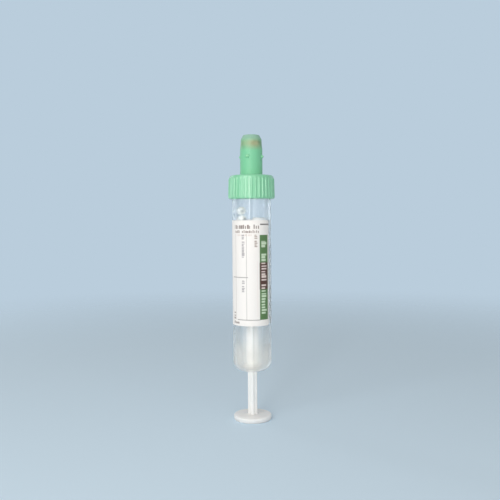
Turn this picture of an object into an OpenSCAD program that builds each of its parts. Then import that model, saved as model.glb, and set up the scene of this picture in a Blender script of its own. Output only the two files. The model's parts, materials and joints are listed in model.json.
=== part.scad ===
// Syringe-type blood collection tube, standing on the thumb disc of its plunger.
// +Z is up, the front is towards -Y, and the origin is the middle of the disc's lower face.

/* [Tube] */
// Outer diameter of the tube
tube_d = 15; // [14:0.25:17]
// Wall of the tube
tube_wall = 1; // [0.8:0.05:1.2]
// Length of the tube from its base to its mouth
tube_len = 75; // [72:0.5:90]
// Corner radius where the wall turns into the base
knuckle_r = 3.7; // [2.6:0.1:4.2]
// Radius of the shallow crown of the base
crown_r = 13.5; // [12:0.5:18]
// Thickness of the base
base_t = 1.2; // [1:0.05:1.5]
// Diameter of the hole that the rod passes through
rod_hole_d = 5.2; // [5.1:0.05:5.6]
// Height of the snap collar above the floor inside
collar_h = 1.8; // [1.2:0.1:2.4]
// Wall of the snap collar
collar_wall = 0.9; // [0.7:0.05:1.1]

/* [Plunger] */
// How much smaller the thumb disc's radius is than the tube's
disc_inset = 0.2; // [0.1:0.05:1]
// Thickness of the thumb disc
disc_t = 1.9; // [1.1:0.05:2.2]
// Rounding of the thumb disc's rim
disc_round = 0.5; // [0.2:0.05:0.6]
// Length of rod that shows between the disc and the tube
rod_show = 16.85; // [12:0.05:24]
// Width across the ribs of the rod near the disc
rod_w_low = 3.6; // [3:0.1:4.2]
// Width across the ribs of the rod inside the tube
rod_w_high = 4.7; // [4.4:0.05:4.8]
// Thickness of a rib of the rod
rod_rib_t = 1.05; // [0.9:0.05:1.6]
// Turn of the ribs about the axis, in degrees
rod_turn = -8; // [-45:1:45]
// Diameter of the neck where the rod is meant to snap
snap_neck_d = 2.2; // [1.6:0.1:2.6]
// Length of that neck
snap_neck_len = 1; // [0.6:0.1:1.6]

/* [Piston] */
// Depth of the piston's top below the tube's mouth
piston_down = 24.9; // [22:0.1:30]
// Thickness of the piston's two flanges
flange_t = 1.4; // [1:0.1:1.8]
// Radial room between a flange and the bore
flange_gap = 0.4; // [0.3:0.05:0.6]
// Depth of the groove that holds the seal
groove_depth = 1.2; // [0.9:0.05:1.6]
// Height of the seal
seal_h = 4.6; // [3.6:0.1:5.6]
// Height of one lip of the seal
lip_h = 0.9; // [0.6:0.1:1.2]
// Depth of the hollow between the two lips
lip_depth = 0.35; // [0.2:0.05:0.5]

/* [Cap] */
// Height of the ribbed collar
cap_h = 9.05; // [8.5:0.05:11]
// Wall of the collar at its lower edge, without the ribs
cap_wall_low = 0.75; // [0.6:0.05:1.4]
// Wall of the collar at its top, without the ribs
cap_wall_top = 0.5; // [0.4:0.05:1.2]
// Thickness of the collar's top plate
cap_top_t = 0.75; // [0.7:0.05:1.6]
// Rounding of the collar's top edge
cap_round = 0.8; // [0.3:0.05:0.9]
// Number of grip ribs
rib_n = 36; // [24:4:44]
// Radius of a grip rib
rib_r = 0.42; // [0.3:0.02:0.5]
// How far a grip rib stands out of the collar
rib_out = 0.24; // [0.12:0.02:0.3]
// Room for the thread between the tube and the collar
thread_room = 0.5; // [0.4:0.05:0.6]
// Wall of the sealing ring that hangs into the tube
plug_wall = 0.8; // [0.6:0.05:1]
// Depth of the sealing ring
plug_depth = 4; // [3:0.1:4.6]

/* [Stem] */
// Height of the stem above the collar
stem_h = 15.4; // [13:0.05:18]
// Diameter of the stem
stem_d = 8.5; // [8:0.1:9]
// Diameter of the stem's narrower tip
tip_d = 7.9; // [7.7:0.05:8.1]
// Height of the tip, without its slope
tip_h = 3.4; // [3:0.1:4]
// Height of the slope between stem and tip
tip_slope_h = 2; // [1.4:0.1:2.4]
// Rounding of the tip's rim
tip_round = 1; // [0.5:0.05:1]
// Diameter of the needle entry in the tip
entry_d = 4.6; // [4:0.1:4.8]
// Depth of the needle entry
entry_depth = 2.6; // [2.2:0.05:3]
// Diameter of the channel below the membrane
channel_d = 5; // [4.4:0.1:5.2]
// Number of lugs that hold a needle adapter
lug_n = 4; // [2:1:4]
// How far a lug stands out of the stem
lug_out = 0.6; // [0.4:0.02:0.9]
// Width of a lug
lug_w = 1.6; // [1:0.1:2]
// Height of a lug
lug_h = 1.7; // [1:0.1:2]
// Height of a lug's lower face above the collar
lug_up = 6.3; // [4:0.1:7]
// Turn of the first lug about the axis, in degrees
lug_turn = -20; // [-45:1:45]

/* [Membrane] */
// Diameter of the rubber membrane stopper
stopper_d = 5.8; // [5.5:0.05:5.9]
// Height of the membrane stopper
stopper_h = 3; // [2.4:0.05:3.4]
// Depth of the dimple that a needle finds
stopper_dimple = 0.5; // [0.3:0.05:0.8]

/* [Label] */
// Height of the label
label_h = 40; // [30:0.5:44]
// Height of the label's lower edge above the tube's base
label_up = 18.65; // [14:0.05:22]
// Thickness of the label
label_t = 0.1; // [0.08:0.01:0.2]
// Angle that the label covers, in degrees
label_wrap = 300; // [240:5:340]
// Turn of the label's middle away from the front, in degrees
label_turn = -92; // [-180:1:180]

/* [Gel and beads] */
// Depth of the gel on its low side
gel_h = 7.3; // [5:0.1:9]
// Height of the mound above the low side
mound_h = 2.3; // [1.6:0.1:3]
// Radius of the mound's flat top
mound_top_r = 2; // [1.4:0.1:2.4]
// Radius of the mound's foot
mound_foot_r = 3.8; // [3.2:0.1:4.2]
// Distance of the mound from the axis
mound_off = 2.8; // [2:0.1:3.2]
// Diameter of a bead
bead_d = 3.2; // [2.8:0.05:3.4]
// Depth to which a bedded bead's middle sinks below the gel's low side
bead_sink = 0.75; // [0.5:0.05:1]

/* [Hidden] */
$fn = 96;

// Clearances
run_gap = 0.05;   // between parts that slide or turn on each other
seat_gap = 0.1;   // between faces that come to rest on each other
gel_gap = 0.15;   // between the gel and the wall
bead_gap = 0.1;   // between a bead and the wall
touch_gap = 0.02; // between pieces that lie on each other
join = 0.2;       // how far a feature reaches into what carries it

// Heights and radii of the tube
tube_r = tube_d / 2;
bore_r = tube_r - tube_wall;
base_z = disc_t + rod_show;
mouth_z = base_z + tube_len;
hole_r = rod_hole_d / 2;
collar_r = hole_r + collar_wall;
floor_z = base_z + base_t;
collar_z = floor_z + collar_h;
mouth_round = 0.3;

// Heights and radii of the plunger
boss_gap = 0.25;
boss_r = hole_r - boss_gap;
boss_h = base_t + collar_h - 1;
flange_r = bore_r - flange_gap;
under_r = collar_r + 0.1;
piston_z = mouth_z - piston_down;
groove_r = flange_r - groove_depth;
groove_top = piston_z - flange_t;
groove_z = groove_top - seal_h - 2 * run_gap;
flange_z = groove_z - flange_t;
under_z = flange_z - (flange_r - under_r);
neck_z = under_z - boss_h - snap_neck_len;
rod_step_z = base_z + 1.3;
rod_step_h = 3.8;
rod_foot = 0.5;

// Heights and radii of the cap
plate_z = mouth_z + seat_gap;
cap_z = plate_z + cap_top_t;
skirt_z = cap_z - cap_h;
skirt_r = tube_r + thread_room;
cap_r_low = skirt_r + cap_wall_low;
cap_r_top = skirt_r + cap_wall_top;
cap_lean = atan((cap_r_low - cap_r_top) / cap_h);
edge_round = 0.25;
plug_r = bore_r - 0.08;
plug_lead = 0.6;
stem_r = stem_d / 2;
tip_r = tip_d / 2;
stem_z = cap_z + stem_h;
tip_z = stem_z - tip_h;
entry_z = stem_z - entry_depth;
stopper_z = entry_z - run_gap - stopper_h;
pocket_r = stopper_d / 2 + run_gap;
stem_fillet = 0.6;

// Heights of the gel and the beads
gel_r = bore_r - gel_gap;
gel_z = piston_z + gel_h;
bead_r = bead_d / 2;
wall_bead = bore_r - bead_r - bead_gap;
lean_a = 218;
lean_b = 222;
bead_b_z = gel_z + bead_r;
bead_rise = sqrt(pow(bead_d + touch_gap, 2) - pow(2 * wall_bead * sin((lean_b - lean_a) / 2), 2));
// Each bead: angle about the axis, distance from the axis, height of its middle
BEADS = [
    [lean_a, wall_bead, bead_b_z + bead_rise],
    [lean_b, wall_bead, bead_b_z],
    [254, wall_bead, gel_z - bead_sink],
    [175, wall_bead, gel_z - bead_sink],
    [124, wall_bead - 0.4, gel_z - bead_sink]
];

// Points along an arc in the plane of a turned profile
function arc(cx, cz, r, from, to, n = 12) =
    [for (i = [0:n]) let (a = from + (to - from) * i / n) [cx + r * cos(a), cz + r * sin(a)]];

// A domed base: a knuckle that runs tangent into a shallow crown, from the wall inwards.
// The crown ends at radius stop, and is at height low there.
function dome(r, knuckle, crown, low, stop) =
    let (turn = acos((r - knuckle) / (crown - knuckle)),
         last = acos(stop / crown),
         crown_z = low + crown * sin(last),
         knuckle_z = crown_z - (crown - knuckle) * sin(turn))
    concat(arc(r - knuckle, knuckle_z, knuckle, 0, -turn, 12),
           arc(0, crown_z, crown, -turn - 2, -last, 10));

module bead_at(i) {
    rotate([0, 0, BEADS[i][0]]) translate([BEADS[i][1], 0, BEADS[i][2]]) children();
}

// Clear barrel with an open mouth, a domed base and a snap collar around the rod's hole
module tube() {
    outside = dome(tube_r, knuckle_r, crown_r, base_z, hole_r);
    inside = dome(bore_r, knuckle_r - tube_wall, crown_r - base_t, floor_z, collar_r);
    color([0.82, 0.9, 0.95, 0.35])
    rotate_extrude()
    polygon(concat(
        arc(tube_r - mouth_round, mouth_z - mouth_round, mouth_round, 90, 0, 6),
        outside,
        [[hole_r, collar_z], [collar_r, collar_z]],
        [for (i = [len(inside) - 1:-1:0]) inside[i]],
        [[bore_r, mouth_z - mouth_round]],
        arc(bore_r + mouth_round, mouth_z - mouth_round, mouth_round, 180, 90, 6)
    ));
}

// Film label around the tube, which leaves a clear window beside the front
module label() {
    color([0.97, 0.97, 0.96])
    rotate([0, 0, label_turn - 90 - label_wrap / 2])
    rotate_extrude(angle = label_wrap)
    translate([tube_r, base_z + label_up])
    square([label_t, label_h]);
}

// Cross section of the rod's ribs
module rod_cross() {
    for (turn = [0, 90])
        rotate(turn + rod_turn) square([2 * rod_w_high, rod_rib_t], center = true);
}

// Half profile that limits the ribs: narrow below, wider inside the tube
module rod_profile() {
    low = rod_w_low / 2;
    high = rod_w_high / 2;
    polygon([[0, disc_t - join], [low + rod_foot, disc_t - join], [low + rod_foot, disc_t],
             [low, disc_t + rod_foot], [low, rod_step_z], [high, rod_step_z + rod_step_h],
             [high, neck_z - high + low], [low, neck_z], [0, neck_z]]);
}

// Turned piston with its snap boss and the neck below it
module piston() {
    rotate_extrude()
    polygon([
        [0, neck_z - join], [snap_neck_d / 2, neck_z - join],
        [snap_neck_d / 2, neck_z + snap_neck_len], [boss_r, neck_z + snap_neck_len],
        [boss_r, under_z], [under_r, under_z], [flange_r, flange_z], [flange_r, groove_z],
        [groove_r, groove_z], [groove_r, groove_top], [flange_r, groove_top],
        [flange_r, piston_z], [0, piston_z]
    ]);
}

// Thumb disc, ribbed rod and piston moulded as one piece
module plunger() {
    disc_r = tube_r - disc_inset;
    color([0.92, 0.93, 0.92]) {
        rotate_extrude()
        polygon(concat([[0, 0]],
            arc(disc_r - disc_round, disc_round, disc_round, -90, 0, 6),
            arc(disc_r - disc_round, disc_t - disc_round, disc_round, 0, 90, 6),
            [[0, disc_t]]));
        intersection() {
            linear_extrude(height = neck_z) rod_cross();
            rotate_extrude() rod_profile();
        }
        piston();
    }
}

// Rubber ring with two lips, in the piston's groove
module piston_seal() {
    in_r = groove_r + run_gap;
    out_r = bore_r - run_gap;
    low = groove_z + run_gap;
    top = low + seal_h;
    dip = out_r - lip_depth;
    color([0.55, 0.56, 0.58])
    rotate_extrude()
    polygon([
        [in_r, low], [dip, low], [out_r, low + lip_h / 2], [out_r, low + lip_h], [dip, low + lip_h * 1.5],
        [dip, top - lip_h * 1.5], [out_r, top - lip_h], [out_r, top - lip_h / 2], [dip, top], [in_r, top]
    ]);
}

// Separating gel on the piston, with a mound on one side and pockets where the beads lie
module gel() {
    color([0.9, 0.93, 0.93, 0.85])
    difference() {
        intersection() {
            translate([0, 0, piston_z]) cylinder(h = gel_h + mound_h, r = gel_r);
            union() {
                translate([0, 0, piston_z]) cylinder(h = gel_h, r = gel_r);
                translate([mound_off, 0, 0]) rotate_extrude() mound_profile();
            }
        }
        for (i = [0:len(BEADS) - 1]) bead_at(i) sphere(r = bead_r + touch_gap);
    }
}

module mound_profile() {
    top_z = gel_z + mound_h;
    edge = mound_h * 0.4;
    polygon(concat(
        [[0, gel_z - join], [mound_foot_r, gel_z - join], [mound_foot_r, gel_z]],
        [[(mound_foot_r + mound_top_r + edge) / 2, gel_z + mound_h * 0.25]],
        arc(mound_top_r, top_z - edge, edge, 10, 90, 8),
        [[0, top_z]]));
}

// Bead that was coated with the additive
module bead(i) {
    color([0.88, 0.9, 0.9]) bead_at(i) sphere(r = bead_r);
}

// Rubber disc in the stem that the needle goes through
module membrane_stopper() {
    r = stopper_d / 2;
    dimple_r = entry_d / 2 - 0.4;
    color([0.5, 0.45, 0.38])
    rotate_extrude()
    polygon([[0, stopper_z], [r, stopper_z], [r, stopper_z + stopper_h],
             [dimple_r, stopper_z + stopper_h], [0, stopper_z + stopper_h - stopper_dimple]]);
}

// One grip rib, leaning with the collar's side and pointed at its top
module grip_rib() {
    foot = 0.5;
    len = cap_h - cap_round - foot - 2 * rib_r;
    translate([cap_r_low + rib_out - rib_r, 0, skirt_z + foot])
    rotate([0, -cap_lean, 0]) {
        cylinder(h = len, r = rib_r, $fn = 24);
        translate([0, 0, len]) cylinder(h = 2 * rib_r, r1 = rib_r, r2 = rib_r * 0.3, $fn = 24);
    }
}

// One lug on the stem, sloped on top so that an adapter slides over it
module lug() {
    reach = stem_r + lug_out;
    z = cap_z + lug_up;
    intersection() {
        translate([0, -lug_w / 2, z]) cube([reach + 1, lug_w, lug_h]);
        translate([0, 0, z]) cylinder(h = lug_h * 0.6, r = reach);
    }
    intersection() {
        translate([0, -lug_w / 2, z]) cube([reach + 1, lug_w, lug_h]);
        translate([0, 0, z + lug_h * 0.6]) cylinder(h = lug_h * 0.4, r1 = reach, r2 = stem_r);
    }
}

// Half profile of the cap's outer skin: collar, stem and tip
module cap_outside() {
    polygon(concat(
        [[0, skirt_z], [cap_r_low - edge_round, skirt_z], [cap_r_low, skirt_z + edge_round]],
        arc(cap_r_top - cap_round, cap_z - cap_round, cap_round, 0, 90, 8),
        arc(stem_r + stem_fillet, cap_z + stem_fillet, stem_fillet, 270, 180, 6),
        [[stem_r, tip_z - tip_slope_h], [tip_r, tip_z]],
        arc(tip_r - tip_round, stem_z - tip_round, tip_round, 0, 90, 8),
        [[0, stem_z]]));
}

// Screw cap with its ribbed collar, sealing ring, stem and lugs
module screw_cap() {
    channel_r = channel_d / 2;
    color([0.55, 0.83, 0.68]) {
        difference() {
            union() {
                rotate_extrude() cap_outside();
                for (i = [0:rib_n - 1]) rotate([0, 0, i * 360 / rib_n]) grip_rib();
                for (i = [0:lug_n - 1]) rotate([0, 0, -90 + lug_turn + i * 360 / lug_n]) lug();
            }
            translate([0, 0, skirt_z - 1]) cylinder(h = plate_z - skirt_z + 1, r = skirt_r);
            translate([0, 0, skirt_z - 1]) cylinder(h = stopper_z - skirt_z + 1, r = channel_r);
            translate([0, 0, stopper_z - run_gap])
                cylinder(h = stopper_h + 2 * run_gap, r = pocket_r);
            translate([0, 0, entry_z - run_gap]) cylinder(h = entry_depth + 1, r = entry_d / 2);
        }
        plug_ring();
    }
}

// Sealing ring under the top plate, tapered where it enters the tube
module plug_ring() {
    low = plate_z - plug_depth;
    rotate_extrude()
    polygon([[plug_r - plug_wall, plate_z + join], [plug_r - plug_wall, low], [plug_r - plug_wall / 2, low],
             [plug_r, low + plug_lead], [plug_r, plate_z + join]]);
}

plunger();
piston_seal();
gel();
bead(0);  // bead_1
bead(1);  // bead_2
bead(2);  // bead_3
bead(3);  // bead_4
bead(4);  // bead_5
tube();
label();
membrane_stopper();
screw_cap();
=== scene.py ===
# %% [markdown]
# # A blood collection tube that is also a syringe
#
# The real one is a clear plastic tube. A rod through its domed base carries a piston, so that blood is
# drawn with the plunger, or by the vacuum it leaves behind. Gel and coated beads lie on the piston, a
# printed label wraps the barrel, and a green screw cap with a rubber membrane closes the mouth.
#
# The CAD model gives every size and place. This lesson gives each piece its skin: a surface worked out
# with numpy as a function of two parameters, and a plastic, rubber or paper made of nodes.

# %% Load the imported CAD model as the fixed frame
import json
import math

import bmesh
import bpy
import numpy as np
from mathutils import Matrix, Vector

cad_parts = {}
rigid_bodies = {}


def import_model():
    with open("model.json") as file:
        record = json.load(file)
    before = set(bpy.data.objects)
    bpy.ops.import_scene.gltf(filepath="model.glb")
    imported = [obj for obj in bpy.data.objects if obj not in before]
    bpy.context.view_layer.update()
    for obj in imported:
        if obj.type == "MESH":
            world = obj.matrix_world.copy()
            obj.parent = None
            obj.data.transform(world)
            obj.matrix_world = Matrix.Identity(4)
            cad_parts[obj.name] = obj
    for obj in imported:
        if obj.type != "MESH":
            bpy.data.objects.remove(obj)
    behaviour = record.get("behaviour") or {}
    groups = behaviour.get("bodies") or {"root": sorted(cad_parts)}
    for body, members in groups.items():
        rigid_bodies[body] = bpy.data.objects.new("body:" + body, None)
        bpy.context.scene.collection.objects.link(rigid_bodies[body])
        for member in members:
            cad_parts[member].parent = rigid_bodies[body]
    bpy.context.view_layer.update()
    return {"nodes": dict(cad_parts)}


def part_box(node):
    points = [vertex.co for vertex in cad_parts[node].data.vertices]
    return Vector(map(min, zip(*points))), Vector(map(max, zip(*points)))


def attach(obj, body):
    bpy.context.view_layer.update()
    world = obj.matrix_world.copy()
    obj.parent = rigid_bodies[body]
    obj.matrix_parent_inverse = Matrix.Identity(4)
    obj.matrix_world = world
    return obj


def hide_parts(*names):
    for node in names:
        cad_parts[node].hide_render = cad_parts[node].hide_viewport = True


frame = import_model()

MM = 0.001

# %% [markdown]
# ## Read the sizes from the frame
#
# Nearly every piece is round about the upright axis, so a radius and two heights say where it is. They
# could be typed in, but read from the CAD node's box they follow when a size changes in the CAD.

# %% Radius and heights of each round node
def extent(node):
    """Radius, lowest and highest level of a CAD node about the axis, in millimetres."""
    low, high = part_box(node)
    return tuple(round(v / MM, 3) for v in (high.x, low.z, high.z))


tube_r, base_z, mouth_z = extent("tube")
disc_r, foot_z, piston_z = extent("plunger")
seal_r, seal_z, seal_top = extent("piston_seal")
gel_r, gel_foot, gel_peak = extent("gel")
label_r, label_z, label_top = extent("label")
membrane_r, membrane_z, membrane_top = extent("membrane_stopper")
cap_r, skirt_z, stem_z = extent("screw_cap")
print(f"tube r {tube_r}, from {base_z} to {mouth_z}; cap r {cap_r}, from {skirt_z} to {stem_z}")

# %% [markdown]
# ## The camera
#
# It stands a quarter of a metre in front, a little above the middle, and looks down by less than three
# degrees. A camera held by hand is never dead level, so this one is turned a little about its line of sight.
# A constraint could aim it, but plain numbers say exactly where it stands and looks.

# %% Set up the camera
camera = bpy.data.objects.new("camera", bpy.data.cameras.new("camera"))
camera.location = np.array((-0.63, -249.0, 77.2)) * MM
camera.rotation_euler = np.radians((90 - 2.59, 0.36, 0))
camera.data.lens = 46.4
camera.data.clip_start = 0.01
bpy.context.scene.collection.objects.link(camera)
bpy.context.scene.camera = camera
print("camera at", tuple(round(v, 4) for v in camera.location))

# %% [markdown]
# ## Profiles: the half outline of a turned piece
#
# A turned piece is drawn as on a lathe: one outline of (radius, height) that is carried round the axis.
# It could be drawn point by point, but moulded plastic has no knife edges. So an outline is written as
# corners, each with a fillet that is worked out from the corner's own geometry.

# %% Outlines with rounded corners
def arc(r, z, radius, start, end, steps=8):
    """Arc of a circle: its middle plus radius * (cosine, sine) of angles spread evenly from start to end."""
    a = np.radians(np.linspace(start, end, steps + 1))
    return np.column_stack((r + radius * np.cos(a), z + radius * np.sin(a)))


def outline(*parts):
    """One outline from points and rows of points, in their order."""
    return np.vstack([np.reshape(np.asarray(part, float), (-1, 2)) for part in parts])


def softened(corners, steps=5):
    """Closed outline from corners (r, z, fillet). Each corner becomes the arc that touches both its sides.
    The arc starts fillet / tan(half the corner's angle) away from the corner, and its middle lies
    fillet / sin(half) away from it on the bisector. Its points are a spherical blend of the two radii."""
    rows = np.asarray(corners, float)
    point, fillet = rows[:, :2], rows[:, 2:]
    back, ahead = np.roll(point, 1, 0) - point, np.roll(point, -1, 0) - point
    back /= np.linalg.norm(back, axis=1, keepdims=True)
    ahead /= np.linalg.norm(ahead, axis=1, keepdims=True)
    half = np.arccos(np.clip((back * ahead).sum(1, keepdims=True), -1, 1)) / 2
    bisector = (back + ahead) / np.maximum(np.linalg.norm(back + ahead, axis=1, keepdims=True), 1e-9)
    middle = point + bisector * fillet / np.sin(half)
    first = point + back * fillet / np.tan(half) - middle
    last = point + ahead * fillet / np.tan(half) - middle
    turn = np.maximum(np.pi - 2 * half, 1e-6)[:, None]
    share = np.linspace(0, 1, steps + 1)[None, :, None]
    swing = np.sin((1 - share) * turn) * first[:, None] + np.sin(share * turn) * last[:, None]
    points = (middle[:, None] + swing / np.sin(turn)).reshape(-1, 2)
    return points[np.linalg.norm(points - np.roll(points, 1, 0), axis=1) > 1e-5]


square = softened([(1, 1, 0.5), (9, 1, 0.5), (9, 9, 0.5), (1, 9, 0.5)])
print("a rounded square takes", len(square), "points")


# %% Cut long sides of an outline
def divided(points, low, high, step, least_r=0.0, most_r=99.0):
    """The closed outline, with each side that lies between two heights and two radii cut into equal pieces,
    none of them longer than step."""
    ahead = np.roll(points, -1, 0)
    least, most = np.sort((points, ahead), 0)
    inside = (least > (least_r - 1e-6, low - 1e-6)).all(1) & (most < (most_r + 1e-6, high + 1e-6)).all(1)
    length = np.linalg.norm(ahead - points, axis=1)
    count = np.where(inside, np.ceil(length / step), 1).clip(1).astype(int)
    side = np.repeat(np.arange(len(points)), count)
    place = np.arange(len(side)) - np.repeat(np.cumsum(count) - count, count)
    return points[side] + (place / count[side])[:, None] * (ahead - points)[side]


print("cut into sides of 1 mm at most it takes", len(divided(square, 0, 10, step=1.0)))

# %% [markdown]
# ## From a grid to a mesh
#
# Every skin in this lesson is a grid: row i and column j give one point, and four neighbours make a
# face. Where a row shrinks to a pole its points coincide, so doubles are merged. Then normals are turned
# outwards, and edges sharper than 35 degrees stay crisp while the rest is shaded smooth. A point may also
# carry two numbers, kept as a UV map, where the materials read them. The pieces could be modelled by hand,
# but computed points follow their formula exactly and change with the sizes.

# %% Build a mesh from a grid of points
def surface(name, x, y, z, around=True, along=True, flat=None):
    """Mesh of the grid whose row i and column j lie at (x, y, z), in millimetres. A face joins (i, j),
    (i, j+1), (i+1, j+1) and (i+1, j). Columns close on themselves if around, and rows if along.
    flat gives each point two numbers, kept as the UV map "sheet", such as its place on an unrolled sheet."""
    index = np.arange(x.size).reshape(x.shape)
    low, high = index, np.roll(index, -1, 0)
    corners = np.stack((low, np.roll(low, -1, 1), np.roll(high, -1, 1), high), -1)
    faces = corners[: None if along else -1, : None if around else -1].reshape(-1, 4)
    mesh = bpy.data.meshes.new(name)
    mesh.from_pydata(np.column_stack((x.ravel(), y.ravel(), z.ravel())) * MM, [], faces)
    if flat is not None:
        places = np.column_stack((flat[0].ravel(), flat[1].ravel()))[faces.ravel()]
        mesh.uv_layers.new(name="sheet").uv.foreach_set("vector", places.astype(np.float32).ravel())
    shell = bmesh.new()
    shell.from_mesh(mesh)
    bmesh.ops.remove_doubles(shell, verts=shell.verts, dist=0.0005 * MM)
    bmesh.ops.recalc_face_normals(shell, faces=shell.faces)
    shell.to_mesh(mesh)
    shell.free()
    mesh.shade_smooth()
    mesh.set_sharp_from_angle(angle=math.radians(35))
    piece = bpy.data.objects.new(name, mesh)
    bpy.context.scene.collection.objects.link(piece)
    triangles = sum(len(p.vertices) - 2 for p in mesh.polygons)
    print(f"{name}: {len(mesh.vertices)} points, {triangles} triangles")
    return piece


# %% Turned grids, smooth steps and what a piece stands for
def turned(points, columns=192):
    """Grid of a turned outline: angle, radius and height of row i (along it) and column j (around)."""
    around = np.linspace(0, 2 * np.pi, columns, endpoint=False)
    angle = np.meshgrid(around, points[:, 0])[0]
    return angle, np.tile(points[:, :1], columns), np.tile(points[:, 1:], columns)


def revolved(name, angle, radius, height, along=True):
    """Mesh of a grid in polar form: x = radius * cos(angle), y = radius * sin(angle), z = height."""
    return surface(name, radius * np.cos(angle), radius * np.sin(angle), height, along=along)


def ramp(value, low, high):
    """Smooth step from 0 at low to 1 at high: 3t^2 - 2t^3, where t goes evenly from 0 to 1 between them."""
    t = np.clip((value - low) / (high - low), 0, 1)
    return t * t * (3 - 2 * t)


def placed(piece, body, slot, *nodes):
    """The piece rides on a body and stands for its CAD nodes, which it hides. slot is not used."""
    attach(piece, body)
    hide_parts(*nodes)
    return piece


# %% [markdown]
# ## The clear barrel
#
# The barrel is one moulding: a wall one millimetre thick, a base like a shallow dome with a tight
# knuckle at its rim, and a short collar inside that snaps onto the piston. Outside its mouth runs one
# ridge of screw thread. The thread could be a separate swept coil, but on the real tube it is part of
# the wall, so it is added to the radius: a ridge wherever the height is close to lead * turns.

# %% Outline of the barrel
wall = 1
base_t = 1.2
bore_r = tube_r - wall
floor_z = base_z + base_t
knuckle_r = 3.7
crown_r = 13.5
hole_r = 2.6
hole_round = 0.15
collar_r = 3.5
collar_z = floor_z + 1.8
collar_round = 0.3
mouth_round = 0.3
thread_foot = mouth_z - 7.2


def domed(r, knuckle, crown, low, stop, steps=10):
    """Base of a vessel from its wall inwards: a knuckle arc that runs tangent into a wide crown arc.
    They meet where cos(turn) = (r - knuckle) / (crown - knuckle). At radius stop the crown has height low."""
    turn = math.acos((r - knuckle) / (crown - knuckle))
    last = math.acos(stop / crown)
    crown_z = low + crown * math.sin(last)
    knuckle_z = crown_z - (crown - knuckle) * math.sin(turn)
    turn, last = math.degrees(turn), math.degrees(last)
    knuckle_arc = arc(r - knuckle, knuckle_z, knuckle, 0, -turn, steps)
    return outline(knuckle_arc, arc(0, crown_z, crown, -turn - 2, -last, steps))


barrel = outline(
    arc(tube_r - mouth_round, mouth_z - mouth_round, mouth_round, 90, 0, 5),
    (tube_r, thread_foot),
    domed(tube_r, knuckle_r, crown_r, base_z, hole_r),
    arc(hole_r + hole_round, collar_z - hole_round, hole_round, 180, 90, 4),
    arc(collar_r - collar_round, collar_z - collar_round, collar_round, 90, 0, 4),
    domed(bore_r, knuckle_r - wall, crown_r - base_t, floor_z, collar_r)[::-1],
    arc(bore_r + mouth_round, mouth_z - mouth_round, mouth_round, 180, 90, 5),
)
barrel = divided(barrel, thread_foot, mouth_z, step=0.14)
print("barrel outline:", len(barrel), "points")

# %% Barrel with its thread
lead = 3.0
thread_start = mouth_z - 6.2


def thread(angle, z, start, turns, width, height):
    """Height of a right-handed thread over the wall. In turn t its middle is at start + lead * t, where t
    is the angle in turns plus a whole number. Across it is a flat-topped hill that fades at both ends."""
    turn = np.mod(angle, 2 * np.pi) / (2 * np.pi)
    whole = np.round((z - start) / lead - turn)
    t = turn + whole
    hill = 1 - ramp(np.abs(z - start - lead * t), 0.35 * width, width)
    return height * hill * ramp(t, 0, 0.08) * (1 - ramp(t, turns - 0.08, turns))


angle, radius, height = turned(barrel, 336)
ridge = thread(angle, height, thread_start, turns=1.55, width=0.55, height=0.37)
radius = radius + np.where(radius > tube_r - 0.01, ridge, 0)
tube = placed(revolved("clear_barrel", angle, radius, height), "tube", "clear_plastic", "tube")

# %% [markdown]
# ## The plunger: disc, ribbed rod and piston in one
#
# The rod is a cross in section, which is stiff and keeps the moulding thin. Cross, disc and piston could
# be three meshes pushed into each other, but they are one moulding, so they are one grid: each level is a
# ring of points, and the ring goes from a circle to a cross and back. In polar form a bar of half length
# L and half thickness T is r = min(L / |cos a|, T / |sin a|), and the cross is the larger of two bars.
# A mould leaves no sharp corners, so both choices are made with a rounded change.

# %% Section of the rod
rib_half = 0.525
rib_turn = math.radians(-8)
tip_power = 22       # small rounding at the ribs' tips
root_power = 1.45    # wide fillets between the ribs


def soft_min(a, b, power):
    """The smaller of two positive lengths with a rounded change: (a^-p + b^-p)^(-1/p)."""
    return (a ** -power + b ** -power) ** (-1 / power)


def cross(angle, reach):
    """Radius of a cross of two bars at each angle. The larger of a and b is 1 / smaller of (1 / a, 1 / b)."""
    c = np.maximum(np.abs(np.cos(angle - rib_turn)), 1e-3)
    s = np.maximum(np.abs(np.sin(angle - rib_turn)), 1e-3)
    bar = soft_min(reach / c, rib_half / s, tip_power)
    other = soft_min(reach / s, rib_half / c, tip_power)
    return 1 / soft_min(1 / bar, 1 / other, root_power)


print("radius at a rib and between two:", cross(rib_turn + np.array((0, np.pi / 4)), 2.0).round(2), "mm")

# %% Levels of the plunger
disc_t = 1.9
disc_round = 0.5
foot_round = 0.3
rod_foot = 0.5
neck_z = piston_z - 13.0
rib_low = 1.58
rib_high = 2.14
disc = outline(
    (0, foot_z),
    arc(disc_r - foot_round, foot_z + foot_round, foot_round, -90, 0, 6),
    arc(disc_r - disc_round, disc_t - disc_round, disc_round, 0, 90, 6),
)
rod = outline(
    arc(rib_low + rod_foot, disc_t + rod_foot, rod_foot, 270, 180, 5),
    (rib_low, 10),      # only divides a long side, as 40 does
    (rib_low, base_z + 1.3),
    (rib_high, base_z + 5.1),
    (rib_high, 40),
    (rib_high, neck_z - 0.55),
    (rib_low, neck_z),
)
flange_r = bore_r - 0.4
flange_t = 1.4
groove_r = flange_r - 1.2
neck_r = 1.1
boss_r = 2.35
flange_z = neck_z + 5.5
piston = softened([
    (0, neck_z - 0.2, 0), (neck_r, neck_z - 0.2, 0), (neck_r, neck_z + 1, 0.2), (boss_r, neck_z + 1, 0.25),
    (boss_r, neck_z + 3, 0.1), (3.6, neck_z + 3, 0.15), (flange_r, flange_z, 0.15),
    (flange_r, flange_z + flange_t, 0.15), (groove_r, flange_z + flange_t, 0.1),
    (groove_r, piston_z - flange_t, 0.1), (flange_r, piston_z - flange_t, 0.15), (flange_r, piston_z, 0.2),
    (0, piston_z, 0),
], 4)
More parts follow.
